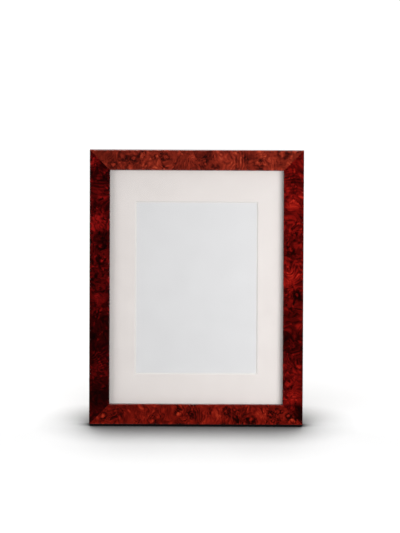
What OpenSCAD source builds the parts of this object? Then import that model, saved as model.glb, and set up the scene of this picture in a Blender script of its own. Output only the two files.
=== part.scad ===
// Wooden picture frame that stands on a table, leaning back on a hinged easel strut.
// It is drawn upright, the face at y = 0 and the back towards +Y, and then leaned back as one.
// The origin is on the table, under the middle of the standing frame.

/* [Frame] */
// Width over the outside of the moulding
frame_w = 210; // [180:1:260]
// Height over the outside of the moulding
frame_h = 270; // [230:1:340]
// Angle that the frame leans back when it stands
lean = 12; // [9:0.5:16]

/* [Moulding] */
// Width of the moulding's face
rail_w = 20; // [18:0.5:28]
// Depth of the moulding, face to back
rail_d = 12; // [11:0.5:18]
// Rise of the face at the middle of its width
crown = 0.1; // [0.1:0.1:1.2]
// Radius of the face's outer edge
outer_round = 0.5; // [0.3:0.1:3]
// Radius of the face's sight edge
sight_round = 1.2; // [0.6:0.1:3]
// Width of the lip that covers the edge of the glass
lip_w = 6; // [4:0.5:8]
// Chamfer of the two edges at the back
back_ease = 0.6; // [0.3:0.1:1]

/* [Glass, mat and back] */
// Play of the glass beside each wall of the rebate; it stands on the lower one
glass_gap = 1; // [0.5:0.1:2]
// Thickness of the glass
glass_t = 2; // [1.5:0.1:3]
// Thickness of the mat board
mat_t = 1.4; // [1:0.1:2.4]
// Width of the mat's window at its back edge
window_w = 118; // [90:1:130]
// Height of the mat's window at its back edge
window_h = 168; // [130:1:180]
// Thickness of the blank sheet behind the window
sheet_t = 0.4; // [0.2:0.1:0.8]
// Thickness of the back board
board_t = 3; // [2.4:0.1:4]
// How far the back board lies below the back of the moulding
board_recess = 0.3; // [0.2:0.1:1]
// Radius of the half-round thumb notch in the back board
notch_r = 9; // [6:0.5:12]

/* [Easel strut] */
// Angle of the open strut from the vertical
rake = 10; // [7:0.5:12]
// Width of the strut at the hinge
strut_top_w = 38; // [34:1:46]
// Width of the strut at its foot
strut_foot_w = 68; // [56:1:76]
// Thickness of the strut
strut_t = 2.5; // [2:0.1:3]
// Width of each toe of the strut's foot
toe_w = 14; // [10:0.5:18]
// Height of the arch between the toes
arch_h = 9; // [5:0.5:14]

/* [Strut hinge] */
// Thickness of the hinge's sheet steel
leaf_t = 0.8; // [0.6:0.1:1]
// Width of the hinge
leaf_w = 30; // [27:1:34]
// Height of the leaf on the back board, from the pin
upper_h = 22; // [20:1:30]
// Height of the leaf on the strut, from the pin
lower_h = 24; // [20:1:32]
// Radius of the hinge pin
pin_r = 1.15; // [0.9:0.05:1.4]
// Length of each of the two outer knuckles
knuckle_l = 8; // [6:0.5:9]
// Radius of a rivet's shank
rivet_r = 1.5; // [1:0.1:1.8]
// Radius of a rivet's domed head
rivet_head_r = 2.8; // [2.2:0.1:3.4]

/* [Turn buttons] */
// Thickness of a turn button
button_t = 1; // [0.8:0.1:1.5]
// Radius of a turn button round its screw
button_r = 4.5; // [3.8:0.1:5.5]
// Radius of a turn button's tip
tip_r = 3; // [2.5:0.1:3.6]
// Distance from the screw to the middle of the tip
button_reach = 11; // [9:0.5:13]
// Radius of the screw's shank
screw_r = 1.4; // [1.2:0.1:1.7]
// Length of the screw under its head
screw_l = 8; // [6:0.5:9]
// Radius of the screw's head
screw_head_r = 3.1; // [2.6:0.1:3.6]

/* [Hangers] */
// Length of a sawtooth hanger
hanger_l = 44; // [36:1:54]
// Height of a sawtooth hanger
hanger_h = 8; // [7:0.5:10]
// Thickness of a hanger's steel
hanger_t = 0.8; // [0.6:0.1:1.2]
// Rise of a hanger's middle above its two tabs
hanger_rise = 1.6; // [1.2:0.1:2.5]
// Pitch of the saw teeth
tooth_pitch = 2.4; // [2:0.1:3.2]
// Depth of the saw teeth
tooth_h = 1.5; // [1:0.1:2]
// Radius of a hanger nail's shank
nail_r = 0.8; // [0.6:0.05:1]
// Length of a hanger nail under its head
nail_l = 9; // [6:0.5:9]

/* [Corner nails] */
// Depth that a corner nail is driven
vee_h = 7; // [5:0.5:9]
// Thickness of a corner nail's steel
vee_t = 0.6; // [0.4:0.1:0.8]

/* [Hidden] */
$fn = 64;

// Overrun of every cut past the face that it leaves
over = 2;
// Radial clearance of pins, screws, nails and rivets in their holes
pin_fit = 0.05;
// Clearance of the hinge's barrel from the back board
seat_gap = 0.3;
// Clearance between two knuckles, end to end
knuckle_gap = 0.15;
// Clearance of the open hinge's tongue from the leaf that stops it
stop_gap = 0.05;
// Depth of a pilot hole past the point that is in it
point_gap = 1;

// Places along a rail, as shares of its length from its middle
short_button_share = 0.25;
long_button_share = 0.26;
// Height of the hinge pin, as a share of the frame's height
hinge_share = 2 / 3;
// Corner nails along the mitre, as shares of the back's width
vee_shares = [0.25, 0.57];
vee_leg_share = 0.34;
// Angle between a corner nail's leg and the mitre
vee_spread = 35;

// Moulding
back_w = rail_w - lip_w;
rebate_d = glass_t + mat_t + sheet_t + board_t + board_recess;
lip_t = rail_d - rebate_d;
back_mid = back_w / 2;
crown_r = (pow(rail_w / 2, 2) + pow(crown, 2)) / (2 * crown);

// Glass, mat, sheet and board share one size, and lie behind each other in the rebate
pane_w = frame_w - 2 * back_w - 2 * glass_gap;
pane_h = frame_h - 2 * back_w - 2 * glass_gap;
mat_y = lip_t + glass_t;
sheet_y = mat_y + mat_t;
board_y = sheet_y + sheet_t;
board_back = board_y + board_t;
pane_mid = back_w + pane_h / 2;

// Hinge, drawn round its pin with the strut shut: the back board's face is at y = -pin_out
bore_r = pin_r + pin_fit;
barrel_r = bore_r + leaf_t;
pin_out = barrel_r + seat_gap;
pin_y = board_back + pin_out;
pin_z = frame_h * hinge_share;
open_angle = lean + rake;
strut_face = barrel_r - leaf_t;
middle_l = leaf_w - 2 * (knuckle_l + knuckle_gap);
knuckle_clear = barrel_r + 2 * seat_gap;
tongue_l = (strut_face * cos(open_angle) + pin_out - leaf_t - stop_gap) / sin(open_angle);
leaf_round = leaf_t * 4;
rivet_x = leaf_w * 0.32;
upper_rivet_z = upper_h * 0.66;
lower_rivet_z = lower_h * 0.66;
rivet_head_h = rivet_head_r * 0.36;
clinch_r = rivet_r * 1.6;
clinch_h = board_t * 0.3;
pin_head_r = barrel_r * 0.9;
pin_head_h = leaf_t;

// Standing height and the middle of the footprint
base_edge_y = rail_d - back_ease;
lift = base_edge_y * sin(lean);
pin_up = pin_z * cos(lean) - pin_y * sin(lean) + lift;
strut_l = (pin_up + strut_face * sin(rake)) / cos(rake);
pin_back = pin_y * cos(lean) + pin_z * sin(lean);
foot_back = pin_back + strut_face * cos(rake) + strut_l * sin(rake);
front_edge = crown_depth(outer_round) * cos(lean) + outer_round * sin(lean) - outer_round;
middle_y = (front_edge + foot_back) / 2;

// Strut: straight beside the hinge, then flaring to the foot
strut_top = -knuckle_clear;
flare_start = strut_top - lower_h;
flare_steps = 20;
strut_round = strut_top_w * 0.12;
arch_chord = strut_foot_w - 2 * toe_w;
arch_r = (pow(arch_chord / 2, 2) + pow(arch_h, 2)) / (2 * arch_h);

// Turn button, screw, nail and hanger
button_slope = asin((button_r - tip_r) / button_reach);
rib_r = button_t * 0.8;
screw_head_h = screw_head_r * 0.6;
slot_w = screw_head_r * 0.26;
slot_h = screw_head_h * 0.5;
nail_head_r = nail_r * 2.3;
nail_head_h = nail_r;
point_share = 0.25;
hanger_z = back_mid - hanger_h / 2;
screw_hole_l = screw_l - button_t + point_gap;
nail_hole_l = nail_l - hanger_t + point_gap;
tab_l = hanger_l * 0.17;
slope_l = hanger_rise * 1.2;
teeth_l = hanger_l - 2 * (tab_l + slope_l);
teeth = floor(teeth_l / tooth_pitch) - 1;
nail_x = hanger_l / 2 - tab_l / 2;
vee_set = vee_t / 2;

// Depth of the centre of an edge round of radius r that runs into the crowned face
function crown_depth(r) = crown_r - sqrt(pow(crown_r - r, 2) - pow(rail_w / 2 - r, 2));

// Points along an arc about a centre, from angle a to angle b
function arc(centre, r, a, b, steps = 12) = [
    for (i = [0 : steps])
        let (t = a + (b - a) * i / steps) [centre.x + r * cos(t), centre.y + r * sin(t)]
];

// Outline of a tab that stands on the X axis and has two round corners at its end
function tab_outline(w, h, r) = concat(
    [[-w / 2, 0], [w / 2, 0]],
    arc([w / 2 - r, h - r], r, 0, 90),
    arc([-w / 2 + r, h - r], r, 90, 180)
);

// Half the strut's width at a share s of the way from the flare's start to the foot
function strut_half(s) = (strut_top_w + (strut_foot_w - strut_top_w) * (1 - cos(180 * s)) / 2) / 2;

// A flat outline in X and Z, made thick from depth y to y + t
module panel(y, t) {
    translate([0, y + t, 0]) rotate([90, 0, 0]) linear_extrude(t) children();
}

// A round bar along X
module bar(x, l, r) {
    translate([x, 0, 0]) rotate([0, 90, 0]) cylinder(r = r, h = l);
}

// What stands on the table: the upright drawing leaned back onto its lower back edge
module leaned() {
    translate([0, -middle_y, lift]) rotate([-lean, 0, 0]) children();
}

// What is fixed to the back board round the hinge pin
module at_pin() {
    leaned() translate([0, pin_y, pin_z]) children();
}

// What swings with the strut, drawn shut and turned open
module swung() {
    at_pin() rotate([open_angle, 0, 0]) children();
}

// The four sides: each is drawn as the bottom one, from its outer edge at z = 0 inwards
module bottom_side() {
    children();
}

module top_side() {
    translate([0, 0, frame_h]) mirror([0, 0, 1]) children();
}

module left_side() {
    translate([-frame_w / 2, 0, frame_h / 2]) rotate([0, 90, 0]) children();
}

module right_side() {
    mirror([1, 0, 0]) left_side() children();
}

// Angle at which an edge round of radius r runs into the crowned face, from the face's middle
function crown_angle(r) = asin((rail_w / 2 - r) / (crown_r - r));

// Section of the moulding: depth along X, distance from the outer edge along Y
module rail_section() {
    polygon(concat(
        arc([crown_depth(outer_round), outer_round], outer_round, 270, 180 + crown_angle(outer_round)),
        arc([crown_r, rail_w / 2], crown_r, 180 + crown_angle(outer_round), 180 - crown_angle(sight_round)),
        arc([crown_depth(sight_round), rail_w - sight_round], sight_round, 180 - crown_angle(sight_round), 90),
        [
            [lip_t, rail_w], [lip_t, back_w],
            [rail_d - back_ease, back_w], [rail_d, back_w - back_ease],
            [rail_d, back_ease], [rail_d - back_ease, 0]
        ]
    ));
}

// A length of moulding mitred at both ends, with the slots of its corner nails
module rail_blank(l) {
    difference() {
        intersection() {
            translate([-l / 2, 0, 0]) rotate([90, 0, 90]) linear_extrude(l) rail_section();
            panel(-over, rail_d + 2 * over) polygon([
                [-l / 2, 0], [l / 2, 0], [l / 2 - rail_w, rail_w], [-l / 2 + rail_w, rail_w]
            ]);
        }
        for (side = [0, 1])
            mirror([side, 0, 0]) translate([-l / 2, 0, 0])
                panel(rail_d - vee_set - vee_h, vee_set + vee_h + over) vees();
    }
}

// Outlines of one corner's nails, open towards the middle of the frame
module vees() {
    for (share = vee_shares)
        translate([back_w * share, back_w * share]) {
            circle(vee_t / 2);
            for (a = [-vee_spread, vee_spread])
                rotate(45 + a) translate([0, -vee_t / 2]) square([back_w * vee_leg_share, vee_t]);
        }
}

// Pilot holes of a side's two turn buttons
module button_holes(l, share) {
    for (x = [-l * share, l * share])
        translate([x, rail_d - screw_hole_l, back_mid]) rotate([-90, 0, 0])
            cylinder(r = screw_r + pin_fit, h = screw_hole_l + over);
}

// Pilot holes of a hanger's two nails
module nail_holes() {
    for (x = [-nail_x, nail_x])
        translate([x, rail_d - nail_hole_l, back_mid]) rotate([-90, 0, 0])
            cylinder(r = nail_r + pin_fit, h = nail_hole_l + over);
}

module rail_bottom() {
    color("#8e1a12") leaned() bottom_side() difference() {
        rail_blank(frame_w);
        button_holes(frame_w, short_button_share);
    }
}

module rail_top() {
    color("#9c2f1c") leaned() top_side() difference() {
        rail_blank(frame_w);
        button_holes(frame_w, short_button_share);
        nail_holes();
    }
}

module rail_left() {
    color("#5c0a0e") leaned() left_side() difference() {
        rail_blank(frame_h);
        button_holes(frame_h, long_button_share);
        nail_holes();
    }
}

module rail_right() {
    color("#7d130f") leaned() right_side() difference() {
        rail_blank(frame_h);
        button_holes(frame_h, long_button_share);
    }
}

// V-shaped steel nails driven across the mitres from the back, two in each corner
module corner_nails() {
    color("silver") leaned()
        for (top = [0, 1], right = [0, 1])
            translate([0, 0, top * frame_h]) mirror([0, 0, top]) mirror([right, 0, 0])
                translate([-frame_w / 2, 0, 0])
                    panel(rail_d - vee_set - vee_h, vee_h) vees();
}

// A full-size layer in the rebate, standing on its lower wall
module pane(y, t) {
    leaned() translate([-pane_w / 2, y, back_w]) cube([pane_w, t, pane_h]);
}

module glass() {
    color([0.85, 0.92, 0.9, 0.3]) pane(lip_t, glass_t);
}

// Section of the window's bevelled cut, widening to the front at 45 degrees
module bevel_section(w) {
    polygon([
        [-w / 2 - mat_t - over, -over], [w / 2 + mat_t + over, -over],
        [w / 2 - over, mat_t + over], [-w / 2 + over, mat_t + over]
    ]);
}

module mat() {
    color("#e4dcd9") difference() {
        pane(mat_y, mat_t);
        leaned() translate([0, mat_y, pane_mid]) intersection() {
            linear_extrude(pane_h, center = true) bevel_section(window_w);
            rotate([0, 90, 0]) linear_extrude(pane_w, center = true) bevel_section(window_h);
        }
    }
}

module insert_sheet() {
    color("#dedede") pane(sheet_y, sheet_t);
}

// Back board with the hinge's rivet holes, countersunk for their clinched ends, and a thumb notch
module back_board() {
    color("#5a4636") difference() {
        pane(board_y, board_t);
        at_pin() translate([0, -pin_out, upper_rivet_z]) rivet_holes(board_t);
        leaned() translate([0, board_y - over, back_w + pane_h]) rotate([-90, 0, 0])
            cylinder(r = notch_r, h = board_t + 2 * over);
    }
}

// Holes of a pair of rivets through a panel whose outer face is at y = 0
module rivet_holes(t) {
    for (x = [-rivet_x, rivet_x])
        translate([x, -t - over, 0]) rotate([-90, 0, 0]) {
            cylinder(r = rivet_r + pin_fit, h = t + 2 * over);
            cylinder(r = clinch_r + pin_fit, h = over + clinch_h);
        }
}

// A pair of rivets: domed heads on the leaf, and ends clinched flush in the panel under it
module rivets(t) {
    for (x = [-rivet_x, rivet_x])
        translate([x, leaf_t, 0]) rotate([-90, 0, 0]) {
            dome(rivet_head_r, rivet_head_h);
            translate([0, 0, -leaf_t - t]) cylinder(r = rivet_r, h = leaf_t + t);
            translate([0, 0, -leaf_t - t]) cylinder(r = clinch_r, h = clinch_h);
        }
}

// A low domed head that stands on z = 0
module dome(r, h) {
    ball = (pow(r, 2) + pow(h, 2)) / (2 * h);
    rotate_extrude() intersection() {
        square([r, h]);
        translate([0, h - ball]) circle(ball, $fn = 128);
    }
}

// Barrel of rolled sheet about the pin
module knuckle(x, l) {
    bar(x, l, barrel_r);
}

module pin_bore() {
    bar(-leaf_w / 2 - over, leaf_w + 2 * over, bore_r);
}

// Leaf on the back board, with two knuckles and a gap between them for the strut's own
module hinge_upper_leaf() {
    color("#b9b4a8") at_pin() difference() {
        union() {
            panel(-pin_out, leaf_t) polygon(tab_outline(leaf_w, upper_h, leaf_round));
            for (x = [-leaf_w / 2, leaf_w / 2 - knuckle_l])
                knuckle(x, knuckle_l);
        }
        pin_bore();
        translate([-middle_l / 2 - knuckle_gap, -pin_out - over, -over])
            cube([middle_l + 2 * knuckle_gap, leaf_t + 2 * over, over + knuckle_clear]);
        translate([0, leaf_t - pin_out, upper_rivet_z]) rivet_holes(leaf_t);
    }
}

// Leaf on the strut: its middle knuckle runs on past the pin as the tongue that stops the strut
module hinge_lower_leaf() {
    color("#b9b4a8") swung() difference() {
        union() {
            knuckle(-middle_l / 2, middle_l);
            panel(strut_face, leaf_t) {
                polygon(tab_outline(middle_l, tongue_l, middle_l * 0.3));
                translate([-middle_l / 2, strut_top - over]) square([middle_l, over - strut_top]);
                translate([0, strut_top]) mirror([0, 1])
                    polygon(tab_outline(leaf_w, lower_h, leaf_round));
            }
        }
        pin_bore();
        translate([0, strut_face + leaf_t, strut_top - lower_rivet_z]) rivet_holes(leaf_t);
    }
}

module hinge_pin() {
    color("silver") at_pin() {
        bar(-leaf_w / 2, leaf_w, pin_r);
        for (side = [0, 1])
            mirror([side, 0, 0]) translate([leaf_w / 2, 0, 0]) rotate([0, 90, 0])
                dome(pin_head_r, pin_head_h);
    }
}

module board_rivets() {
    color("silver") at_pin() translate([0, -pin_out, upper_rivet_z]) rivets(board_t);
}

module strut_rivets() {
    color("silver") swung() translate([0, strut_face, strut_top - lower_rivet_z]) rivets(strut_t);
}

// Outline of the strut, its straight top beside the hinge and its flared sides down to the foot
module strut_outline() {
    side = [
        for (i = [0 : flare_steps])
            let (s = i / flare_steps)
                [strut_half(s), flare_start - (strut_l + over + flare_start) * s]
    ];
    difference() {
        polygon(concat(
            arc([strut_top_w / 2 - strut_round, strut_top - strut_round], strut_round, 90, 0),
            side,
            [for (i = [flare_steps : -1 : 0]) [-side[i].x, side[i].y]],
            arc([-strut_top_w / 2 + strut_round, strut_top - strut_round], strut_round, 180, 90)
        ));
        translate([0, -strut_l + arch_h - arch_r]) circle(arch_r, $fn = 128);
    }
}

// Strut of the same board, cut at its foot to stand flat on the table
module strut() {
    color("#5a4636") difference() {
        swung() difference() {
            panel(strut_face - strut_t, strut_t) strut_outline();
            translate([0, strut_face, strut_top - lower_rivet_z]) rivet_holes(strut_t);
        }
        translate([-frame_w / 2, -frame_h, -frame_h]) cube([frame_w, 2 * frame_h, frame_h]);
    }
}

// A steel turn button that points inwards over the edge of the back board
module turn_button() {
    translate([0, rail_d, back_mid]) difference() {
        union() {
            panel(0, button_t) {
                circle(button_r);
                translate([0, button_reach]) circle(tip_r);
                polygon([
                    [-button_r * cos(button_slope), button_r * sin(button_slope)],
                    [button_r * cos(button_slope), button_r * sin(button_slope)],
                    [tip_r * cos(button_slope), button_reach + tip_r * sin(button_slope)],
                    [-tip_r * cos(button_slope), button_reach + tip_r * sin(button_slope)]
                ]);
            }
            translate([0, button_t, button_reach]) bar(-tip_r * 0.7, tip_r * 1.4, rib_r);
        }
        translate([0, -over, 0]) rotate([-90, 0, 0])
            cylinder(r = screw_r + pin_fit, h = button_t + 2 * over);
    }
}

// A pointed shank that runs down from z = 0
module shank(r, l) {
    translate([0, 0, -l]) {
        translate([0, 0, l * point_share]) cylinder(r = r, h = l * (1 - point_share));
        cylinder(r1 = r * point_share, r2 = r, h = l * point_share);
    }
}

// Slotted round-head screws, one through each turn button of a side
module side_screws(l, share) {
    for (x = [-l * share, l * share])
        translate([x, rail_d + button_t, back_mid]) rotate([-90, 0, 0]) {
            difference() {
                dome(screw_head_r, screw_head_h);
                translate([-screw_head_r, -slot_w / 2, screw_head_h - slot_h])
                    cube([2 * screw_head_r, slot_w, slot_h + over]);
            }
            shank(screw_r, screw_l);
        }
}

module button_screws() {
    color("#c9b27c") leaned() {
        bottom_side() side_screws(frame_w, short_button_share);
        top_side() side_screws(frame_w, short_button_share);
        left_side() side_screws(frame_h, long_button_share);
        right_side() side_screws(frame_h, long_button_share);
    }
}

module turn_button_top_left() {
    color("#c9b27c") leaned() top_side() translate([-frame_w * short_button_share, 0, 0]) turn_button();
}

module turn_button_top_right() {
    color("#c9b27c") leaned() top_side() translate([frame_w * short_button_share, 0, 0]) turn_button();
}

module turn_button_bottom_left() {
    color("#c9b27c") leaned() bottom_side() translate([-frame_w * short_button_share, 0, 0]) turn_button();
}

module turn_button_bottom_right() {
    color("#c9b27c") leaned() bottom_side() translate([frame_w * short_button_share, 0, 0]) turn_button();
}

module turn_button_left_upper() {
    color("#c9b27c") leaned() left_side() translate([-frame_h * long_button_share, 0, 0]) turn_button();
}

module turn_button_left_lower() {
    color("#c9b27c") leaned() left_side() translate([frame_h * long_button_share, 0, 0]) turn_button();
}

module turn_button_right_upper() {
    color("#c9b27c") leaned() right_side() translate([-frame_h * long_button_share, 0, 0]) turn_button();
}

module turn_button_right_lower() {
    color("#c9b27c") leaned() right_side() translate([frame_h * long_button_share, 0, 0]) turn_button();
}

// Sawtooth hanger on the back of a side: two nailed tabs, and a raised middle with its teeth inwards
module hanger() {
    low = [
        [-hanger_l / 2, 0], [-hanger_l / 2 + tab_l, 0],
        [-hanger_l / 2 + tab_l + slope_l, hanger_rise], [hanger_l / 2 - tab_l - slope_l, hanger_rise],
        [hanger_l / 2 - tab_l, 0], [hanger_l / 2, 0]
    ];
    high = [for (i = [len(low) - 1 : -1 : 0]) low[i] + [0, hanger_t]];
    translate([0, rail_d, hanger_z]) difference() {
        linear_extrude(hanger_h) polygon(concat(low, high));
        for (i = [0 : teeth - 1])
            translate([(i - (teeth - 1) / 2) * tooth_pitch, 0, hanger_h])
                panel(hanger_rise - over, hanger_t + 2 * over)
                    polygon([[-tooth_pitch / 2, 0], [0, -tooth_h], [tooth_pitch / 2, 0]]);
        for (x = [-nail_x, nail_x])
            translate([x, -over, hanger_h / 2]) rotate([-90, 0, 0])
                cylinder(r = nail_r + pin_fit, h = hanger_t + 2 * over);
    }
}

module hanger_top() {
    color("silver") leaned() top_side() hanger();
}

module hanger_side() {
    color("silver") leaned() left_side() hanger();
}

// Two nails through a hanger's tabs
module side_nails() {
    for (x = [-nail_x, nail_x])
        translate([x, rail_d + hanger_t, back_mid]) rotate([-90, 0, 0]) {
            dome(nail_head_r, nail_head_h);
            shank(nail_r, nail_l);
        }
}

module hanger_nails() {
    color("silver") leaned() {
        top_side() side_nails();
        left_side() side_nails();
    }
}

rail_top();
rail_bottom();
rail_left();
rail_right();
corner_nails();
glass();
mat();
insert_sheet();
back_board();
hinge_upper_leaf();
hinge_pin();
board_rivets();
strut();
hinge_lower_leaf();
strut_rivets();
turn_button_top_left();
turn_button_top_right();
turn_button_bottom_left();
turn_button_bottom_right();
turn_button_left_upper();
turn_button_left_lower();
turn_button_right_upper();
turn_button_right_lower();
button_screws();
hanger_top();
hanger_side();
hanger_nails();
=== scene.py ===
import math

import bmesh
import bpy
from mathutils import Matrix, Vector


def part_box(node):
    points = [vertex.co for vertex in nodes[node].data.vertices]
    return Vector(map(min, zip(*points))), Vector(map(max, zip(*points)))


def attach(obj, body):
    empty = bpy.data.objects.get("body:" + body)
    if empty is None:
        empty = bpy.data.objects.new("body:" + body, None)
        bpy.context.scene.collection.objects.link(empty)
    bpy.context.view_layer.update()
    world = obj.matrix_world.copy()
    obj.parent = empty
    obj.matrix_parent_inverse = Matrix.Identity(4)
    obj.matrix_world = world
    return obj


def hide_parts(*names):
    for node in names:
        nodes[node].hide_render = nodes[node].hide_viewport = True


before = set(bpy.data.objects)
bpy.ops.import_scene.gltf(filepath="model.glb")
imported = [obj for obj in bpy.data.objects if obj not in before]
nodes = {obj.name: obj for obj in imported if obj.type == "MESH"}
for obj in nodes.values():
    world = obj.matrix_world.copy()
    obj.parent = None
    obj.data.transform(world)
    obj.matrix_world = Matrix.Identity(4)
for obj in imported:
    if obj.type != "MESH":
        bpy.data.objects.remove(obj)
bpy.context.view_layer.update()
mm = 0.001

# The moulding, thought of upright with its face at y = 0; the whole frame then leans back
moulding = {
    "width": 210 * mm, "height": 270 * mm, "lean": math.radians(12),
    "face": 20 * mm, "back": 14 * mm, "depth": 12 * mm, "lip": 4.9 * mm,
    "crown": 0.1 * mm, "outerRound": 0.5 * mm, "sightRound": 1.2 * mm, "backEase": 0.6 * mm,
    "mitreGroove": 0.1 * mm,
    "underButtons": 0.01 * mm,     # the back stays this far under the buttons that lie on it
}
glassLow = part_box("glass")[0]
sinLean, cosLean = math.sin(moulding["lean"]), math.cos(moulding["lean"])
middleY = moulding["lip"] * cosLean + moulding["back"] * sinLean - glassLow.y
lift = (moulding["depth"] - moulding["backEase"]) * sinLean
toRow = Matrix.Translation((0, -middleY, lift)) @ Matrix.Rotation(-moulding["lean"], 4, "X")
toUpright = toRow.inverted()
faceCentre = toRow @ Vector((0, 0, moulding["height"] / 2))


def addObject(name, data):
    added = bpy.data.objects.new(name, data)
    bpy.context.scene.collection.objects.link(added)
    return added


def turnAlong(direction):  # turns Z to the direction, and so a camera or lamp to look against it
    return direction.to_track_quat("Z", "Y").to_matrix().to_4x4()


# Camera
camera = {
    "distance": 6.0,
    "elevation": math.radians(16.5),
    "roll": math.radians(0.26),
    "pixelsPerMetre": 1018.9,     # at the frame, in the 400 x 533 photograph
    "frameCentre": (196.4, 287.6),
    "imageSize": (400, 533),
    "sensor": 36,
    "clipEnd": 50,
}


def placeCamera():
    data = bpy.data.cameras.new("camera")
    eye = addObject("camera", data)
    back = Vector((0, -math.cos(camera["elevation"]), math.sin(camera["elevation"])))
    turn = turnAlong(back) @ Matrix.Rotation(camera["roll"], 4, "Z")
    wide, high = camera["imageSize"]
    right = (wide / 2 - camera["frameCentre"][0]) / camera["pixelsPerMetre"]
    up = (camera["frameCentre"][1] - high / 2) / camera["pixelsPerMetre"]
    aside = turn.to_3x3() @ Vector((right, up, 0))
    eye.matrix_world = Matrix.Translation(faceCentre + aside + back * camera["distance"]) @ turn
    data.sensor_width = camera["sensor"]
    data.lens = camera["sensor"] * camera["distance"] * camera["pixelsPerMetre"] / high
    data.clip_end = camera["clipEnd"]
    bpy.context.scene.camera = eye


placeCamera()
print("camera placed")


# Shader nodes
def put(tree, kind, sockets=None, **settings):  # one node, its inputs set or linked
    node = tree.nodes.new(kind)
    for name, value in settings.items():
        setattr(node, name, value)
    for name, value in (sockets or {}).items():
        if isinstance(value, bpy.types.NodeSocket):
            tree.links.new(value, node.inputs[name])
        else:
            node.inputs[name].default_value = value
    return node


def sums(tree, operation, first, second=0.0):
    return put(tree, "ShaderNodeMath", {0: first, 1: second}, operation=operation).outputs[0]


def vectorSums(tree, operation, first, second=(0, 0, 0), scale=1.0):
    node = put(tree, "ShaderNodeVectorMath", {0: first, 1: second, 3: scale}, operation=operation)
    return node.outputs["Value" if operation in ("DOT_PRODUCT", "LENGTH") else "Vector"]


def shifted(tree, place, way, share):  # a place moved by a share of a vector
    return vectorSums(tree, "ADD", place, vectorSums(tree, "SCALE", way, scale=share))


def centred(tree, colour):
    return vectorSums(tree, "SUBTRACT", colour, (0.5, 0.5, 0.5))


def weighed(tree, start, *parts):  # start + the sum of each value by its weight
    total = start
    for value, weight in parts:
        sockets = {0: value, 1: weight, 2: total}
        total = put(tree, "ShaderNodeMath", sockets, operation="MULTIPLY_ADD").outputs[0]
    return total


def remap(tree, value, low, high, toLow=0.0, toHigh=1.0):
    sockets = {"Value": value, "From Min": low, "From Max": high, "To Min": toLow, "To Max": toHigh}
    node = put(tree, "ShaderNodeMapRange", sockets, interpolation_type="SMOOTHSTEP")
    return node.outputs["Result"]


def noise(tree, vector, scale, detail=2.0, roughness=0.5, wanted="Fac"):
    sockets = {"Vector": vector, "Scale": scale, "Detail": detail, "Roughness": roughness}
    return put(tree, "ShaderNodeTexNoise", sockets).outputs[wanted]


def mixColours(tree, share, first, second):
    node = put(tree, "ShaderNodeMix", {0: share, 6: first, 7: second}, data_type="RGBA")
    return node.outputs[2]


def srgb(red, green, blue):  # a colour read off in 0-255, as a linear one
    parts = [value / 255 for value in (red, green, blue)]
    return tuple(v / 12.92 if v <= 0.04045 else ((v + 0.055) / 1.055) ** 2.4 for v in parts) + (1,)


def ramp(tree, value, stops):  # stops are places from 0 to 1 with colours in 0-255
    node = put(tree, "ShaderNodeValToRGB", {"Fac": value})
    points = node.color_ramp.elements
    while len(points) < len(stops):
        points.new(0.5)
    for point, (place, colour) in zip(points, stops):
        point.position = place
        point.color = srgb(*colour)
    return node.outputs["Color"]


def bumped(tree, height, strength, depth):
    sockets = {"Height": height, "Strength": strength, "Distance": depth}
    return put(tree, "ShaderNodeBump", sockets).outputs[0]


def newGroup(name, wanted, given):
    tree = bpy.data.node_groups.new(name, "ShaderNodeTree")
    kinds = {"vector": "NodeSocketVector", "value": "NodeSocketFloat", "colour": "NodeSocketColor"}
    for label, kind in wanted.items():
        tree.interface.new_socket(label, in_out="INPUT", socket_type=kinds[kind])
    for label, kind in given.items():
        tree.interface.new_socket(label, in_out="OUTPUT", socket_type=kinds[kind])
    return tree, tree.nodes.new("NodeGroupInput").outputs, tree.nodes.new("NodeGroupOutput")


def useGroup(tree, group, sockets):
    return put(tree, "ShaderNodeGroup", sockets, node_tree=group).outputs


def newMaterial(name):
    material = bpy.data.materials.new(name)
    material.use_nodes = True
    tree = material.node_tree
    tree.nodes.clear()
    return material, tree


def finishMaterial(tree, shader):
    put(tree, "ShaderNodeOutputMaterial", {"Surface": shader.outputs[0]})


def uprightPlace(tree):  # object coordinates, turned back to the upright frame
    coordinates = put(tree, "ShaderNodeTexCoord").outputs["Object"]
    offset = toUpright.to_translation()
    sockets = {"Vector": coordinates, "Location": offset, "Rotation": (moulding["lean"], 0, 0)}
    return put(tree, "ShaderNodeMapping", sockets).outputs["Vector"]


# Burl figure: grain lines across the side, pushed aside by knots, with eyes and dark pits.
# It is laid out in centimetres. The second row says how much each thing moves the grain lines,
# and the last two how much each one counts in the tone
burlLook = {
    "flow": (1.9, 1.9, 2.4), "curl": 0.4, "softFlow": 0.6, "softCurl": 0.14,
    "lines": 19.0, "drift": 34.0, "rings": 32.0, "knotPull": 16.0,
    "middle": 0.52, "bands": 0.12, "blobs": 0.5, "patches": 0.18, "fibre": 0.35, "waves": 0.2,
    "knots": 0.28, "eyes": 0.3, "pits": -0.32,
}


def cells(tree, place, scale, randomness, channel):  # a chance, and the distance to the middle
    sockets = {"Vector": place, "Scale": scale, "Randomness": randomness}
    found = put(tree, "ShaderNodeTexVoronoi", sockets).outputs
    chances = put(tree, "ShaderNodeSeparateColor", {"Color": found["Color"]}).outputs
    return chances[channel], found["Distance"]


def ringAround(tree, away, inside, start, end, outside):  # full from start to end
    return sums(tree, "MULTIPLY", remap(tree, away, inside, start), remap(tree, away, outside, end))


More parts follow.
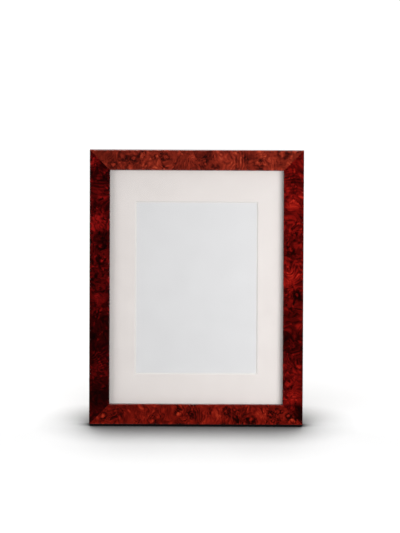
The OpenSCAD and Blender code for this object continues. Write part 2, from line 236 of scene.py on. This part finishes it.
def burlGroup():
    look = burlLook
    marks = ("Shade", "Lines", "Rings", "Knots", "Eyes", "Pits", "Fine")
    wanted = {"Vector": "vector", **{mark: "value" for mark in marks}}
    tree, given, result = newGroup("burl figure", wanted, {"Figure": "value"})
    place = vectorSums(tree, "SCALE", given["Vector"], scale=100.0)  # in centimetres
    slow = centred(tree, noise(tree, place, 0.55, 1.0, 0.5, "Color"))
    flowing = vectorSums(tree, "ADD", place, vectorSums(tree, "MULTIPLY", slow, look["flow"]))
    quick = centred(tree, noise(tree, flowing, 2.2, 1.0, 0.5, "Color"))
    curled = shifted(tree, flowing, quick, look["curl"])
    soft = shifted(tree, shifted(tree, place, slow, look["softFlow"]), quick, look["softCurl"])

    # Grain lines, which ring the knots and run straighter where the veneer is plain
    plain = put(tree, "ShaderNodeClamp", {"Value": given["Lines"]}).outputs[0]
    bend = sums(tree, "SUBTRACT", 1.0, plain)
    curledX = put(tree, "ShaderNodeSeparateXYZ", {"Vector": curled}).outputs["X"]
    softX = put(tree, "ShaderNodeSeparateXYZ", {"Vector": soft}).outputs["X"]
    along = weighed(tree, 0.0, (curledX, bend), (softX, plain))
    loose = weighed(tree, 0.2, (bend, 0.8))
    drift = sums(tree, "MULTIPLY", noise(tree, flowing, 0.8, 2.0, 0.45), loose)
    around = remap(tree, given["Knots"], 2.6, 0.0)
    phase = weighed(
        tree, 0.0, (along, look["lines"]), (drift, look["drift"]), (given["Rings"], look["rings"]),
        (around, look["knotPull"]),
    )
    double = sums(tree, "SINE", sums(tree, "MULTIPLY", phase, 2.3))
    waves = weighed(tree, 0.0, (sums(tree, "SINE", phase), 0.7), (double, 0.3))
    lineShare = remap(tree, noise(tree, flowing, 0.8, 1.0), 0.4, 0.62, 0.1, 0.7)
    lineShare = weighed(tree, lineShare, (given["Rings"], 0.5), (given["Lines"], 0.25))

    # Knots and smaller eyes: a pale middle in a dark ring, and specks of both kinds
    broken = remap(tree, noise(tree, place, 2.6, 1.0), 0.36, 0.56, 0.3, 1.0)
    ring = sums(tree, "MULTIPLY", ringAround(tree, given["Knots"], 0.4, 0.85, 0.95, 1.7), broken)
    knot = weighed(tree, 0.0, (remap(tree, given["Knots"], 0.8, 0.1), 0.8), (ring, -1.0))
    chance, away = cells(tree, soft, 1.9, 0.9, 0)
    ring = ringAround(tree, away, 0.16, 0.32, 0.36, 0.55)
    eye = weighed(tree, 0.0, (remap(tree, away, 0.28, 0.04), 1.2), (ring, -0.8))
    eye = sums(tree, "MULTIPLY", eye, remap(tree, chance, 0.3, 0.5))
    chance, away = cells(tree, soft, 4.0, 1.0, 1)
    speck = sums(tree, "MULTIPLY", remap(tree, away, 0.4, 0.1), sums(tree, "SUBTRACT", chance, 0.5))
    eyes = sums(tree, "MULTIPLY", weighed(tree, eye, (speck, 1.2)), given["Eyes"])

    # Soft bands across the side, blobs, patches and dark pits
    chance, away = cells(tree, curled, 2.5, 1.0, 1)
    blobs = sums(tree, "MULTIPLY", remap(tree, away, 0.75, 0.1), sums(tree, "SUBTRACT", chance, 0.4))
    banded = vectorSums(tree, "MULTIPLY", flowing, (1.5, 1.0, 0.4))
    bands = remap(tree, noise(tree, banded, 1.0, 1.0), 0.3, 0.7, -0.5, 0.5)
    patches = remap(tree, noise(tree, curled, 1.9, 4.0, 0.62), 0.3, 0.7, -0.5, 0.5)
    spots = noise(tree, vectorSums(tree, "MULTIPLY", curled, (1.0, 1.0, 1.5)), 2.4, 1.0)
    pits = sums(tree, "MULTIPLY", remap(tree, spots, 0.5, 0.74), given["Pits"])

    # Fibres and lines, which stay even about the middle
    fibre = noise(tree, vectorSums(tree, "MULTIPLY", curled, (11.0, 11.0, 3.0)), 1.0, 3.0, 0.6)
    lines = sums(tree, "MULTIPLY", waves, lineShare)
    fine = weighed(tree, -look["fibre"] / 2, (fibre, look["fibre"]), (lines, look["waves"]))
    tone = weighed(
        tree, look["middle"], (bands, look["bands"]), (blobs, look["blobs"]),
        (patches, look["patches"]), (fine, given["Fine"]), (given["Shade"], 1.0),
        (knot, look["knots"]), (eyes, look["eyes"]), (pits, look["pits"]),
    )
    tree.links.new(tone, result.inputs["Figure"])
    return tree


# Bare softwood, where the veneer stops at the back
softwood = {
    "stretch": (90.0, 700.0, 700.0), "speckles": 2600.0, "grainShare": 0.7,
    "tones": [(0.3, (150, 112, 74)), (0.52, (190, 152, 108)), (0.75, (209, 176, 134))],
}


def woodGroup():
    wanted = {"Color": "colour", "Height": "value"}
    tree, given, result = newGroup("bare wood", {"Vector": "vector"}, wanted)
    place = vectorSums(tree, "MULTIPLY", given["Vector"], softwood["stretch"])
    grain = noise(tree, place, 1.0, 3.0, 0.6)
    speckle = noise(tree, given["Vector"], softwood["speckles"], 2.0, 0.6)
    share = softwood["grainShare"]
    tone = weighed(tree, 0.0, (grain, share), (speckle, 1 - share))
    tree.links.new(ramp(tree, tone, softwood["tones"]), result.inputs["Color"])
    tree.links.new(tone, result.inputs["Height"])
    return tree


burl = burlGroup()
bareWood = woodGroup()

# Each side of the moulding is a strip of veneer of its own. Its marks are (x, z, reach) on the
# upright face in millimetres, and a strength; its knots have a radius and no strength. Its tones
# are partly the veneer's own colour and partly painted light: painted sheen makes the top and
# bottom sides lighter than the left and right, and painted shade makes the left side darker
# than the right
veneers = {
    "rail_top": {
        "offset": (0.31, 0.02, 0.13), "turned": False, "pits": 0.15, "fine": 1.0,
        "shades": [
            (-92, 262, 12, -0.1), (-66, 258, 14, -0.06), (8, 260, 13, -0.24), (34, 260, 12, 0.08),
            (50, 262, 9, -0.26), (78, 260, 18, 0.1), (-46, 260, 12, 0.14), (-60, 260, 8, 0.08),
            (-6, 260, 9, 0.14), (21, 260, 9, 0.18),
        ],
        "lines": [(43, 260, 20, 1.4), (-22, 260, 14, 0.7)],
        "rings": [(-73, 264, 8, 0.9), (-54, 264, 7, 0.8), (61, 258, 14, 1.0), (92, 268, 18, 0.7)],
        "knots": [
            (-73, 263, 4.4), (-62, 263, 3.4), (-53.5, 264, 3.6), (-39, 264, 2.6), (-31.5, 263, 3.2),
            (-82, 256, 3.6), (60, 257, 4.6), (84, 266, 4.4),
        ],
        "eyes": [(-66, 258, 24, 0.4), (-36, 258, 24, 0.8), (14, 260, 22, 0.9)],
        "spots": [(8, 258, 16, 0.7), (-50, 256, 20, 0.2)],
        # the veneer's colour, made lighter by painted sheen
        "tones": [(42, 9, 6), (70, 15, 9), (104, 28, 17), (140, 43, 27), (178, 72, 44)],
    },
    "rail_bottom": {
        "offset": (0.87, 0.05, 0.46), "turned": False, "pits": 0.25, "fine": 1.0,
        "shades": [
            (-76, 10, 12, -0.22), (-50, 8, 14, 0.1), (-17, 10, 7, 0.16), (-5, 10, 10, -0.28),
            (-46, 10, 8, -0.1), (21, 10, 13, 0.13), (35, 10, 8, -0.1), (46, 10, 12, -0.14),
            (63, 10, 11, 0.26), (76, 10, 10, -0.12),
        ],
        "lines": [(-4, 10, 18, 1.2), (22, 10, 12, 0.8)],
        "rings": [(-60, 6, 10, 0.9), (-17, 10, 16, 1.0), (-90, 4, 12, 0.7)],
        "knots": [
            (73, 9, 3.2), (91, 9, 3), (95, 4.5, 2.6), (81, 13, 2.8), (30, 13, 3.2), (54, 6, 4.2),
            (-17, 11, 3.8), (-43, 3.5, 3.8), (-91, 8, 3.4),
        ],
        "eyes": [(76, 10, 24, 0.9), (42, 10, 20, 0.6), (20, 10, 14, 0.5)],
        "spots": [(44, 10, 16, 0.7), (-80, 8, 16, 0.5)],
        # the veneer's colour, made lighter by painted sheen
        "tones": [(22, 1, 0), (56, 5, 2), (91, 12, 6), (126, 24, 13), (162, 50, 28)],
    },
    "rail_left": {
        "offset": (1.4, 0.01, 0.72), "turned": True, "pits": 0.45, "fine": 0.7,
        "shades": [
            (-95, 244, 14, -0.12), (-95, 226, 10, 0.14), (-97, 200, 17, 0.34), (-93, 186, 9, -0.2),
            (-95, 160, 26, 0.06), (-95, 126, 13, 0.16), (-95, 88, 30, -0.2), (-95, 52, 14, 0.08),
            (-95, 30, 22, -0.24), (-95, 232, 10, 0.1), (-101, 258, 9, 0.34),
        ],
        "lines": [(-95, 234, 30, 1.2), (-95, 118, 14, 0.8), (-95, 66, 20, 1.0), (-95, 28, 18, 1.0)],
        "rings": [(-93, 192, 14, 0.8), (-95, 128, 14, 0.7), (-99, 66, 18, 0.9)],
        "knots": [(-95, 176, 3.6), (-92, 161, 3.2)],
        "eyes": [(-95, 205, 20, 0.4), (-95, 140, 24, 0.5)],
        "spots": [(-95, 176, 26, 0.8), (-95, 142, 16, 0.8)],
        # the veneer's colour, made the darkest of the four sides by painted shade
        "tones": [(12, 0, 0), (27, 0, 0), (50, 1, 1), (88, 6, 6), (138, 17, 15)],
    },
    "rail_right": {
        "offset": (2.2, 0.04, 0.21), "turned": True, "pits": 0.4, "fine": 0.72,
        "shades": [
            (96, 240, 9, -0.14), (96, 219, 13, 0.26), (95, 196, 16, 0.06), (96, 166, 11, -0.12),
            (93, 145, 15, 0.2), (100, 128, 9, -0.36), (96, 112, 12, -0.14), (95, 84, 30, -0.26),
            (97, 44, 12, 0.08), (95, 26, 9, 0.2), (101, 9, 15, -0.5),
        ],
        "lines": [(95, 240, 28, 1.4), (95, 148, 16, 0.8), (95, 26, 16, 1.0)],
        "rings": [(97, 219, 11, 0.9), (92, 147, 15, 0.8), (98, 60, 16, 0.9)],
        "knots": [(92, 172, 3.8), (98, 128, 3.8), (90, 40, 4.4)],
        "eyes": [(95, 190, 22, 0.5), (95, 26, 16, 0.6)],
        "spots": [(96, 120, 17, 1.0), (97, 190, 20, 0.7)],
        # the veneer's colour, darker than top and bottom and lighter than the left side by painted
        # shade
        "tones": [(18, 0, 0), (46, 1, 0), (77, 5, 4), (122, 14, 9), (166, 34, 22)],
    },
}
toneStops = (0.1, 0.3, 0.5, 0.72, 0.95)
sway = {"waves": 110.0, "ripples": 300.0, "marks": 10 * mm, "knots": 7 * mm, "knotRims": 3.5 * mm}
lacquer = {"roughness": 0.4, "coatRoughness": 0.04, "bareRoughness": 0.8, "bareBump": 0.3}


def distanceTo(tree, place, x, z):
    return vectorSums(tree, "LENGTH", vectorSums(tree, "SUBTRACT", place, (x * mm, 0, z * mm)))


def spread(tree, place, marks, start=0.0):  # the marks' strengths, each fading out at its reach
    total = start
    for x, z, reach, strength in marks:
        near = remap(tree, distanceTo(tree, place, x, z), reach * mm, 0.0)
        total = weighed(tree, total, (near, strength))
    return total


def nearestKnot(tree, place, knots):  # the distance to it, in its radii
    nearest = 9.0
    for x, z, radius in knots:
        away = sums(tree, "DIVIDE", distanceTo(tree, place, x, z), radius * mm)
        nearest = sums(tree, "MINIMUM", away, nearest)
    return nearest


def veneerMaterial(side):
    look = veneers[side]
    material, tree = newMaterial("veneer " + side)
    upright = uprightPlace(tree)
    turn = (0, math.radians(90), 0) if look["turned"] else (0, 0, 0)
    sockets = {"Vector": upright, "Location": look["offset"], "Rotation": turn}
    mapped = put(tree, "ShaderNodeMapping", sockets).outputs[0]
    waves = centred(tree, noise(tree, upright, sway["waves"], 2.0, 0.5, "Color"))
    ripples = centred(tree, noise(tree, upright, sway["ripples"], 1.0, 0.5, "Color"))
    swayed = shifted(tree, upright, waves, sway["marks"])
    bent = shifted(tree, shifted(tree, upright, waves, sway["knots"]), ripples, sway["knotRims"])
    figure = useGroup(tree, burl, {
        "Vector": mapped,
        "Fine": look["fine"],
        "Shade": spread(tree, swayed, look["shades"]),
        "Lines": spread(tree, swayed, look["lines"]),
        "Rings": spread(tree, swayed, look["rings"]),
        "Eyes": spread(tree, swayed, look["eyes"]),
        "Pits": spread(tree, swayed, look["spots"], look["pits"]),
        "Knots": nearestKnot(tree, bent, look["knots"]),
    })
    # the side's tones, which hold its painted sheen and shade as well as the veneer's colour
    colour = ramp(tree, figure["Figure"], list(zip(toneStops, look["tones"])))
    wood = useGroup(tree, bareWood, {"Vector": mapped})

    # The veneer ends where the back begins
    depth = put(tree, "ShaderNodeSeparateXYZ", {"Vector": upright}).outputs["Y"]
    edge = moulding["depth"] - moulding["backEase"]
    bare = remap(tree, depth, edge - 0.1 * mm, edge + 0.05 * mm)
    strength = sums(tree, "MULTIPLY", bare, lacquer["bareBump"])
    shader = put(tree, "ShaderNodeBsdfPrincipled", {
        "Base Color": mixColours(tree, bare, colour, wood["Color"]),
        "Roughness": remap(tree, bare, 0.0, 1.0, lacquer["roughness"], lacquer["bareRoughness"]),
        "Coat Weight": sums(tree, "SUBTRACT", 1.0, bare),
        "Coat Roughness": lacquer["coatRoughness"],
        "Specular IOR Level": 0.0,
        "Normal": bumped(tree, wood["Height"], strength, 0.2 * mm),
    })
    finishMaterial(tree, shader)
    return material


def glassMaterial():
    material, tree = newMaterial("clear glass")
    clear = put(tree, "ShaderNodeBsdfTransparent", {"Color": (0.99, 0.99, 0.99, 1)})
    mirror = put(tree, "ShaderNodeBsdfGlossy", {"Roughness": 0.0, "Color": (1, 1, 1, 1)})
    backfacing = put(tree, "ShaderNodeNewGeometry").outputs["Backfacing"]
    fresnel = put(tree, "ShaderNodeFresnel", {"IOR": 1.5}).outputs[0]
    share = sums(tree, "MULTIPLY", fresnel, sums(tree, "SUBTRACT", 1.0, backfacing))
    sockets = {0: share, 1: clear.outputs[0], 2: mirror.outputs[0]}
    finishMaterial(tree, put(tree, "ShaderNodeMixShader", sockets))
    return material


# Paper and board
matBoard = {
    "tones": [(0.3, (223, 217, 214)), (0.7, (232, 226, 223))], "bevel": (229, 225, 222),
    "roughness": 0.9, "shine": 0.2, "bump": 0.25,
}
blankSheet = {
    "tones": [(0.3, (217, 217, 218)), (0.7, (224, 224, 225))], "roughness": 0.75, "shine": 0.3,
}
fibreboard = {
    "tones": [(0.3, (58, 38, 25)), (0.5, (94, 65, 44)), (0.72, (128, 94, 66))],
    "stretch": (900.0, 900.0, 500.0), "fibreShare": 0.75, "roughness": (0.5, 0.68), "bump": 0.35,
}


def paperGroup():
    tree, given, result = newGroup("paper", {"Vector": "vector"}, {"Tone": "value", "Height": "value"})
    fibres = noise(tree, given["Vector"], 2200.0, 4.0, 0.65)
    clouds = noise(tree, given["Vector"], 60.0)
    tree.links.new(weighed(tree, 0.0, (fibres, 0.6), (clouds, 0.4)), result.inputs["Tone"])
    tree.links.new(fibres, result.inputs["Height"])
    return tree


paper = paperGroup()


def matMaterial():
    material, tree = newMaterial("mat board")
    sheet = useGroup(tree, paper, {"Vector": uprightPlace(tree)})
    normal = put(tree, "ShaderNodeNewGeometry").outputs["Normal"]
    facing = vectorSums(tree, "DOT_PRODUCT", normal, (0, -cosLean, sinLean))
    onBevel = sums(tree, "LESS_THAN", facing, 0.9)
    face = ramp(tree, sheet["Tone"], matBoard["tones"])
    shader = put(tree, "ShaderNodeBsdfPrincipled", {
        "Base Color": mixColours(tree, onBevel, face, srgb(*matBoard["bevel"])),
        "Roughness": matBoard["roughness"],
        "Specular IOR Level": matBoard["shine"],
        "Normal": bumped(tree, sheet["Height"], matBoard["bump"], 0.1 * mm),
    })
    finishMaterial(tree, shader)
    return material


def sheetMaterial():
    material, tree = newMaterial("blank sheet")
    sheet = useGroup(tree, paper, {"Vector": uprightPlace(tree)})
    shader = put(tree, "ShaderNodeBsdfPrincipled", {
        "Base Color": ramp(tree, sheet["Tone"], blankSheet["tones"]),
        "Roughness": blankSheet["roughness"],
        "Specular IOR Level": blankSheet["shine"],
    })
    finishMaterial(tree, shader)
    return material


def boardMaterial():
    material, tree = newMaterial("fibreboard")
    upright = uprightPlace(tree)
    stretched = vectorSums(tree, "MULTIPLY", upright, fibreboard["stretch"])
    fibres = noise(tree, stretched, 1.0, 4.0, 0.7)
    clouds = noise(tree, upright, 35.0)
    share = fibreboard["fibreShare"]
    tone = weighed(tree, 0.0, (fibres, share), (clouds, 1 - share))
    shader = put(tree, "ShaderNodeBsdfPrincipled", {
        "Base Color": ramp(tree, tone, fibreboard["tones"]),
        "Roughness": remap(tree, clouds, 0.3, 0.7, *fibreboard["roughness"]),
        "Normal": bumped(tree, fibres, fibreboard["bump"], 0.2 * mm),
    })
    finishMaterial(tree, shader)
    return material


# Metals
metals = {
    "hinge": {
        "name": "hinge steel", "dull": (150, 145, 132), "bright": (196, 190, 174), "roughness": 0.34,
    },
    "hanger": {
        "name": "zinc-plated steel", "dull": (150, 152, 154), "bright": (205, 207, 208),
        "roughness": 0.3,
    },
    "brassed": {
        "name": "brass-plated steel", "dull": (160, 124, 62), "bright": (222, 188, 112),
        "roughness": 0.28,
    },
    "bright": {
        "name": "bright steel", "dull": (140, 141, 143), "bright": (206, 207, 209), "roughness": 0.24,
    },
}


def metalGroup():
    wanted = {"Scratches": "value", "Stains": "value"}
    tree, given, result = newGroup("stamped metal", {"Vector": "vector"}, wanted)
    drawn = vectorSums(tree, "MULTIPLY", given["Vector"], (300.0, 300.0, 5200.0))
    tree.links.new(noise(tree, drawn, 1.0, 3.0, 0.6), result.inputs["Scratches"])
    tree.links.new(noise(tree, given["Vector"], 420.0, 3.0, 0.6), result.inputs["Stains"])
    return tree


metalWear = metalGroup()


def metalMaterial(name, dull, bright, roughness):
    material, tree = newMaterial(name)
    wear = useGroup(tree, metalWear, {"Vector": uprightPlace(tree)})
    tone = weighed(tree, 0.0, (wear["Scratches"], 0.5), (wear["Stains"], 0.5))
    shader = put(tree, "ShaderNodeBsdfPrincipled", {
        "Base Color": ramp(tree, tone, [(0.35, dull), (0.6, bright)]),
        "Metallic": 1.0,
        "Roughness": remap(tree, wear["Stains"], 0.3, 0.7, roughness - 0.07, roughness + 0.1),
        "Normal": bumped(tree, wear["Scratches"], 0.12, 0.1 * mm),
    })
    finishMaterial(tree, shader)
    return material


finishes = {
    "glass": glassMaterial(),
    "mat": matMaterial(),
    "insert_sheet": sheetMaterial(),
    "board": boardMaterial(),
}
for metal, look in metals.items():
    finishes[metal] = metalMaterial(**look)
for side in veneers:
    finishes[side] = veneerMaterial(side)
finishOf = {
    "back_board": "board", "strut": "board", "hinge_upper_leaf": "hinge", "hinge_lower_leaf": "hinge",
    "hanger_top": "hanger", "hanger_side": "hanger", "button_screws": "brassed",
    "hinge_pin": "bright", "board_rivets": "bright", "strut_rivets": "bright",
    "corner_nails": "bright", "hanger_nails": "bright",
}


def dress(piece, finish):
    piece.data.materials.clear()
    piece.data.materials.append(finish)


for name, piece in nodes.items():
    if name.startswith("turn_button"):
        dress(piece, finishes["brassed"])
    else:
        dress(piece, finishes[finishOf.get(name, name)])
print("materials on", len(nodes), "nodes")


# New pieces
def addPiece(name, bm, finish, node, body="frame", smooth=35):
    bmesh.ops.recalc_face_normals(bm, faces=bm.faces)
    data = bpy.data.meshes.new(name)
    bm.to_mesh(data)
    bm.free()
    for face in data.polygons:
        face.use_smooth = True
    data.set_sharp_from_angle(angle=math.radians(smooth))
    piece = addObject(name, data)
    dress(piece, finish)
    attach(piece, body)
    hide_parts(node)
    return piece


def arcPoints(centre, radius, start, stop, steps=10):
    turns = [start + (stop - start) * step / steps for step in range(steps + 1)]
    x, y = centre
    return [(x + radius * math.cos(turn), y + radius * math.sin(turn)) for turn in turns]


# Section of the moulding: depth behind the face, and distance from the outer edge
def sectionPoints():
    face, crown, back, lip = moulding["face"], moulding["crown"], moulding["back"], moulding["lip"]
    depth, ease = moulding["depth"] - moulding["underButtons"], moulding["backEase"]
    outer, sight = moulding["outerRound"], moulding["sightRound"]
    half = face / 2
    crownRadius = (half ** 2 + crown ** 2) / (2 * crown)
    sink = lambda r: crownRadius - math.sqrt((crownRadius - r) ** 2 - (half - r) ** 2)
    turn = lambda r: math.asin((half - r) / (crownRadius - r))
    crownStart, crownStop = math.pi + turn(outer), math.pi - turn(sight)
    hold = math.radians(0.03)     # close pairs keep the crown's shading off the rounds
    points = arcPoints((sink(outer), outer), outer, 1.5 * math.pi, crownStart)
    points += arcPoints((crownRadius, half), crownRadius, crownStart - hold, crownStop + hold, 24)
    points += arcPoints((sink(sight), face - sight), sight, crownStop, math.pi / 2)
    points += [(lip, face), (lip, back), (depth - ease, back), (depth, back - ease)]
    return points + [(depth, ease), (depth - ease, 0)]


def makeRail(side, length, place):  # the section drawn out, and cut to its mitres
    bm = bmesh.new()
    spare = 1 * mm
    start = -length / 2 - spare
    outline = bm.faces.new([bm.verts.new((start, depth, across)) for depth, across in sectionPoints()])
    grown = bmesh.ops.extrude_face_region(bm, geom=[outline])["geom"]
    far = [item for item in grown if isinstance(item, bmesh.types.BMVert)]
    bmesh.ops.translate(bm, verts=far, vec=(length + 2 * spare, 0, 0))
    ends = []
    for way in (-1, 1):
        everything = bm.verts[:] + bm.edges[:] + bm.faces[:]
        plane = {"plane_co": (way * length / 2, 0, 0), "plane_no": (way, 0, 1)}
        cut = bmesh.ops.bisect_plane(bm, geom=everything, dist=1e-6, clear_outer=True, **plane)
        rim = [item for item in cut["geom_cut"] if isinstance(item, bmesh.types.BMEdge)]
        bmesh.ops.edgeloop_fill(bm, edges=rim)
        ends += rim
    groove = {"offset": moulding["mitreGroove"], "segments": 1, "profile": 0.5, "material": -1}
    bmesh.ops.bevel(bm, geom=ends, affect="EDGES", **groove)
    bm.transform(toRow @ place)
    return addPiece(side + "_veneered", bm, finishes[side], side)


def makeRails():
    wide, high = moulding["width"], moulding["height"]
    rails = {
        "rail_bottom": (wide, 0, (0, 0, 0)),
        "rail_top": (wide, 180, (0, 0, high)),
        "rail_left": (high, 90, (-wide / 2, 0, high / 2)),
        "rail_right": (high, -90, (wide / 2, 0, high / 2)),
    }
    for side, (length, turn, place) in rails.items():
        turned = Matrix.Rotation(math.radians(turn), 4, "Y")
        makeRail(side, length, Matrix.Translation(place) @ turned)


nails = {
    "places": (3.5 * mm, 7.98 * mm), "angles": (10, 80),
    "leg": 4.76 * mm, "thick": 0.6 * mm, "tall": 2 * mm, "shown": 0.03 * mm,
}


def makeNails():  # the ends of the V-shaped nails, flush with the back
    bm = bmesh.new()
    deep = moulding["depth"] + nails["shown"] - nails["tall"] / 2
    for right, top in ((-1, 0), (-1, 1), (1, 0), (1, 1)):
        corner = Matrix.Translation((right * moulding["width"] / 2, 0, top * moulding["height"]))
        corner @= Matrix.Diagonal((-right, 1, 1 - 2 * top, 1))
        for along in nails["places"]:
            for angle in nails["angles"]:
                leg = Matrix.Translation((along, deep, along))
                leg @= Matrix.Rotation(-math.radians(angle), 4, "Y")
                leg @= Matrix.Translation((nails["leg"] / 2, 0, 0))
                leg @= Matrix.Diagonal((nails["leg"], nails["tall"], nails["thick"], 1))
                bmesh.ops.create_cube(bm, size=1.0, matrix=toRow @ corner @ leg)
    addPiece("corner_nail_ends", bm, finishes["bright"], "corner_nails")


matSizes = {
    "width": 180 * mm, "height": 240 * mm, "low": 14 * mm, "front": 6.93 * mm, "thick": 1.37 * mm,
    "windowWidth": 118 * mm, "windowHeight": 168 * mm,
}


# Rings of corners, joined one to the next: outside, window at the front, window at the back
def makeMat():
    wide, high, thick = matSizes["width"], matSizes["height"], matSizes["thick"]
    inWide, inHigh = matSizes["windowWidth"], matSizes["windowHeight"]
    middle, front = matSizes["low"] + high / 2, matSizes["front"]
    rings = [
        (wide, high, front), (inWide + 2 * thick, inHigh + 2 * thick, front),
        (inWide, inHigh, front + thick), (wide, high, front + thick),
    ]
    bm = bmesh.new()
    corners = ((-0.5, -0.5), (0.5, -0.5), (0.5, 0.5), (-0.5, 0.5))
    loops = [[bm.verts.new((x * w, y, middle + z * h)) for x, z in corners] for w, h, y in rings]
    for ring, after in zip(loops, loops[1:] + loops[:1]):
        for i in range(4):
            bm.faces.new((ring[i], ring[i - 1], after[i - 1], after[i]))
    bm.transform(toRow)
    addPiece("mat_cut", bm, finishes["mat"], "mat", smooth=5)


makeRails()
makeNails()
makeMat()
print("moulding built")


# Stage: a white floor that keeps the shadow, and soft light. The suns and softboxes light the
# object alone, and the floor's own suns light the floor alone. Azimuths are in degrees from
# straight behind the frame, to the right
stage = {
    "floorRadius": 12.0,
    "floorWhite": 0.62,
    "floorMirrored": 0.33,
    # painted light: a faint glow of the floor itself, which lifts its deepest shadow
    "paintedGlow": 0.004,
    "contactReach": 0.06,
    "contactPower": 3.3,
    "worldFill": 0.4,
    "shineFront": 0.02,
    "shineBeside": 0.3,
    "suns": {
        "overhead": {"azimuth": 0, "elevation": 74, "angle": 14, "strength": 1.4},
        "overhead left": {"azimuth": -24, "elevation": 71, "angle": 14, "strength": 0.8},
        "overhead right": {"azimuth": 24, "elevation": 71, "angle": 14, "strength": 0.75},
        "side left": {"azimuth": -78, "elevation": 66, "angle": 20, "strength": 0.4},
        "side right": {"azimuth": 78, "elevation": 62, "angle": 20, "strength": 0.2},
    },
    "floorSuns": {
        "floor above": {"azimuth": 180, "elevation": 80, "angle": 30, "strength": 1.3},
        "floor behind high": {"azimuth": 0, "elevation": 66, "angle": 20, "strength": 0.81},
        "floor behind low": {"azimuth": 0, "elevation": 58, "angle": 24, "strength": 0.95},
        "floor behind left": {"azimuth": -24, "elevation": 71, "angle": 14, "strength": 0.23},
        "floor left": {"azimuth": -62, "elevation": 38, "angle": 24, "strength": 0.61},
        "floor right": {"azimuth": 62, "elevation": 38, "angle": 24, "strength": 0.57},
        "floor front left": {"azimuth": -115, "elevation": 62, "angle": 24, "strength": 0.36},
    },
    "softboxes": {
        "key": {"place": (0.305, -0.45, 0.25), "size": (0.35, 0.35), "power": 2.25},
        "left": {"place": (-0.86, -0.79, 0.4), "size": (0.7, 0.7), "power": 4.1},
        "rear": {"place": (-0.9, 1.7, 1.1), "size": (2.4, 1.6), "power": 24},
    },
}


def floorMaterial():  # darker close to the frame, where a soft studio's light doesn't reach
    material, tree = newMaterial("white floor")
    near = put(tree, "ShaderNodeAmbientOcclusion", {"Distance": stage["contactReach"]}, samples=16)
    mirrored = put(tree, "ShaderNodeLightPath").outputs["Is Glossy Ray"]
    white = remap(tree, mirrored, 0.0, 1.0, stage["floorWhite"], stage["floorMirrored"])
    contact = sums(tree, "POWER", near.outputs["AO"], stage["contactPower"])
    plain = put(tree, "ShaderNodeBsdfDiffuse", {"Color": sums(tree, "MULTIPLY", contact, white)})
    # painted light: the floor glows faintly everywhere, lifting its deepest shadow
    paintedGlow = put(tree, "ShaderNodeEmission", {"Color": (1, 1, 1, 1), "Strength": stage["paintedGlow"]})
    finishMaterial(tree, put(tree, "ShaderNodeAddShader", {0: plain.outputs[0], 1: paintedGlow.outputs[0]}))
    return material


def makeFloor():
    bm = bmesh.new()
    bmesh.ops.create_circle(bm, cap_ends=True, segments=64, radius=stage["floorRadius"])
    data = bpy.data.meshes.new("floor")
    bm.to_mesh(data)
    bm.free()
    floor = addObject("floor", data)
    dress(floor, floorMaterial())
    floor.visible_diffuse = False
    return floor


# White for the camera, a dim fill for the object, and darker in front for what shines
def lightWorld():
    world = bpy.data.worlds.new("studio")
    bpy.context.scene.world = world
    world.use_nodes = True
    tree = world.node_tree
    tree.nodes.clear()
    path = put(tree, "ShaderNodeLightPath").outputs
    direction = put(tree, "ShaderNodeTexCoord").outputs["Generated"]
    way = put(tree, "ShaderNodeSeparateXYZ", {"Vector": direction}).outputs
    front, fill = stage["shineFront"], stage["worldFill"]
    behind = remap(tree, weighed(tree, way["Y"], (way["Z"], 0.8)), -0.2, 0.7, front, 1.0)
    aside = sums(tree, "ABSOLUTE", way["X"])
    beside = remap(tree, aside, 0.45, 0.95, front, stage["shineBeside"])
    shine = sums(tree, "MAXIMUM", behind, beside)
    light = mixColours(tree, path["Is Glossy Ray"], (fill, fill, fill, 1), shine)
    seen = sums(tree, "MAXIMUM", path["Is Camera Ray"], path["Is Transmission Ray"])
    colour = mixColours(tree, seen, light, (1, 1, 1, 1))
    shade = put(tree, "ShaderNodeBackground", {"Color": colour, "Strength": 1.0})
    put(tree, "ShaderNodeOutputWorld", {"Surface": shade.outputs[0]})


def linkLight(lamp, piece, state):  # to light this piece alone, or all but this piece
    receivers = bpy.data.collections.new(lamp.name + " lights")
    receivers.objects.link(piece)
    lamp.light_linking.receiver_collection = receivers
    receivers.collection_objects[0].light_linking.link_state = state


def softbox(name, floor, place, size, power):  # lights the object alone, and isn't mirrored in it
    data = bpy.data.lights.new(name, "AREA")
    data.shape = "RECTANGLE"
    data.size, data.size_y = size
    data.energy = power
    lamp = addObject(name, data)
    lamp.matrix_world = Matrix.Translation(place) @ turnAlong(Vector(place) - faceCentre)
    lamp.visible_glossy = False
    linkLight(lamp, floor, "EXCLUDE")


def sun(name, floor, state, azimuth, elevation, angle, strength):
    data = bpy.data.lights.new(name, "SUN")
    data.energy = strength
    data.angle = math.radians(angle)
    lamp = addObject(name, data)
    turn, rise = math.radians(azimuth), math.radians(elevation)
    level = Vector((math.sin(turn), math.cos(turn), 0))
    lamp.matrix_world = turnAlong(level * math.cos(rise) + Vector((0, 0, math.sin(rise))))
    linkLight(lamp, floor, state)


floor = makeFloor()
lightWorld()
for name, place in stage["suns"].items():
    sun(name, floor, "EXCLUDE", **place)
for name, place in stage["floorSuns"].items():
    sun(name, floor, "INCLUDE", **place)
for name, place in stage["softboxes"].items():
    softbox(name, floor, **place)
bpy.context.scene.view_settings.view_transform = "Standard"
print("stage lit")
